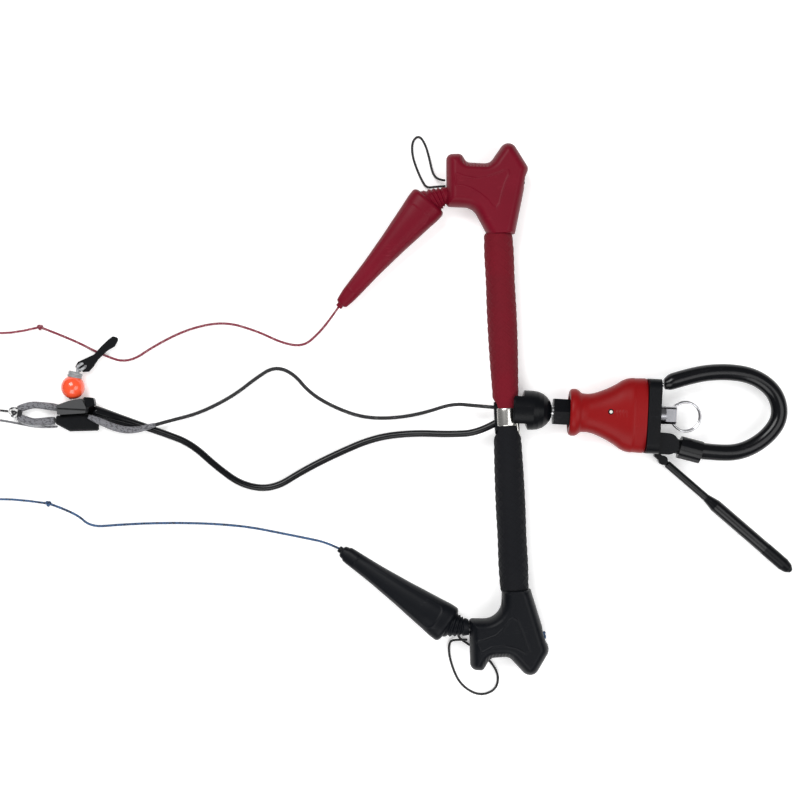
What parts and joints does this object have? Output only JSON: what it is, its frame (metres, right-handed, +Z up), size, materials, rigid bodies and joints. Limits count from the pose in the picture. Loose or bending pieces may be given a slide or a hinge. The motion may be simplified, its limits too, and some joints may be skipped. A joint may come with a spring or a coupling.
{
  "type": "kite control bar",
  "caption": "Kite control bar with foam grips, winder ends, two floats, quick release with chicken loop, trim cleat and coiled flying lines",
  "frame": {"origin": "centre of the box of the bar, release and cleat, on the surface they lie on, without the free lines and coils", "axes": "+X along the quick release's axis towards the rider, +Y towards the red end of the bar, +Z up"},
  "size_m": [0.8925, 0.5283, 0.041],
  "materials": {
    "alu_tube": "satin",
    "black_end": "satin",
    "black_fabric": "matte",
    "black_grip": "matte",
    "black_line": "matte",
    "black_plastic": "satin",
    "black_pu": "satin",
    "blue_line": "matte",
    "chrome": "polished",
    "grey_cord": "matte",
    "grey_plastic": "matte",
    "orange": "gloss",
    "red_end": "satin",
    "red_grip": "matte",
    "red_handle": "satin",
    "red_line": "matte",
    "steel": "polished"
  },
  "bodies": {
    "bar": {"bar_tube": "alu_tube", "centre_insert": "steel", "centre_bushing": "black_plastic", "grip_red": "red_grip", "grip_black": "black_grip", "bar_end_red": "red_end", "bar_end_black": "black_end", "leader_knot_red": "red_line", "leader_knot_black": "blue_line", "float_root_red": "black_pu", "float_root_black": "black_pu", "bungee_red": "black_line", "bungee_black": "black_line", "cleat_shell": "grey_plastic", "cleat_lever": "black_plastic", "cleat_base": "black_fabric", "depower_tube": "black_pu", "flag_sleeve": "grey_cord", "flag_line": "black_line", "leader_red": "red_line", "leader_blue": "blue_line", "line_red": "red_line", "line_blue": "blue_line", "line_power": "black_line", "line_safety": "grey_cord", "coil_red": "red_line", "coil_blue": "blue_line", "coil_power": "black_line", "coil_safety": "grey_cord"},
    "float_red": {"float_red": "red_end", "float_neck_red": "red_end"},
    "float_black": {"float_black": "black_end", "float_neck_black": "black_end"},
    "line_guide": {"through_tube": "black_pu", "through_flag": "black_line"},
    "stopper": {"stopper_ball": "black_plastic", "swivel_stem": "steel"},
    "release": {"swivel_neck": "black_plastic", "qr_core": "black_plastic", "qr_plate": "black_plastic", "loop_bracket": "black_plastic", "loop_pin": "steel", "finger_anchor": "black_plastic"},
    "handle": {"qr_handle": "red_handle"},
    "loop": {"chicken_loop": "black_pu", "loop_spigot": "steel", "loop_knuckle": "black_plastic", "loop_cuff": "black_pu"},
    "finger": {"locking_finger": "black_pu", "finger_tip": "black_plastic"},
    "leash_swivel": {"leash_post": "steel", "leash_clevis": "chrome"},
    "leash_ring": {"leash_ring": "chrome"},
    "trim_pull": {"trim_ball": "orange", "trim_ferrule": "grey_plastic", "pull_tab": "black_fabric"},
    "trim_anchor": {"trim_knot": "grey_cord", "trim_strand_upper": "grey_cord", "trim_strand_lower": "grey_cord"}
  },
  "joints": [
    {"name": "steering", "type": "hinge", "parent": "bar", "child": "line_guide", "pos_m": [0.0953, -0.0011, 0.0205], "axis": [0, 0, 1], "range_deg": [-15, 15]},
    {"name": "sheeting", "type": "slide", "parent": "line_guide", "child": "stopper", "axis": [1, 0, 0], "range_m": [0, 0.3], "deforming": ["through_tube", "through_flag"]},
    {"name": "line_swivel", "type": "hinge", "parent": "stopper", "child": "release", "pos_m": [0.1393, -0.0011, 0.0205], "axis": [1, 0, 0], "continuous": true},
    {"name": "release_handle", "type": "slide", "parent": "release", "child": "handle", "axis": [-1, 0, 0], "range_m": [0, 0.012], "stiffness_N_per_m": 300, "springref_m": -0.004},
    {"name": "loop_gate", "type": "hinge", "parent": "release", "child": "loop", "pos_m": [0.2473, -0.0261, 0.0205], "axis": [0, 0, -1], "range_deg": [0, 55]},
    {"name": "finger_swing", "type": "hinge", "parent": "release", "child": "finger", "pos_m": [0.2468, -0.0423, 0.0062], "axis": [0, 0, 1], "range_deg": [-40, 60]},
    {"name": "leash_turn", "type": "hinge", "parent": "release", "child": "leash_swivel", "pos_m": [0.2389, 0.0004, 0.0205], "axis": [1, 0, 0], "continuous": true},
    {"name": "ring_swing", "type": "hinge", "parent": "leash_swivel", "child": "leash_ring", "pos_m": [0.2532, 0.0004, 0.0205], "axis": [0, 0, 1], "range_deg": [-20, 40]},
    {"name": "red_float_flex", "type": "hinge", "parent": "bar", "child": "float_red", "pos_m": [0.02333, 0.19597, 0.0205], "axis": [0, 0, 1], "range_deg": [-15, 15]},
    {"name": "black_float_flex", "type": "hinge", "parent": "bar", "child": "float_black", "pos_m": [0.06175, -0.2082, 0.0205], "axis": [0, 0, 1], "range_deg": [-15, 15]},
    {"name": "trim_pull", "type": "slide", "parent": "bar", "child": "trim_pull", "axis": [0.8, 0.6, 0], "range_m": [0, 0.03]},
    {"name": "trim_shorten", "type": "slide", "parent": "bar", "child": "trim_anchor", "axis": [1, 0, 0], "range_m": [0, 0.015], "deforming": ["trim_strand_upper", "trim_strand_lower", "line_power"]}
  ],
  "couplings": [
    {"joint": "trim_shorten", "follows": "trim_pull", "ratio": 0.5}
  ]
}
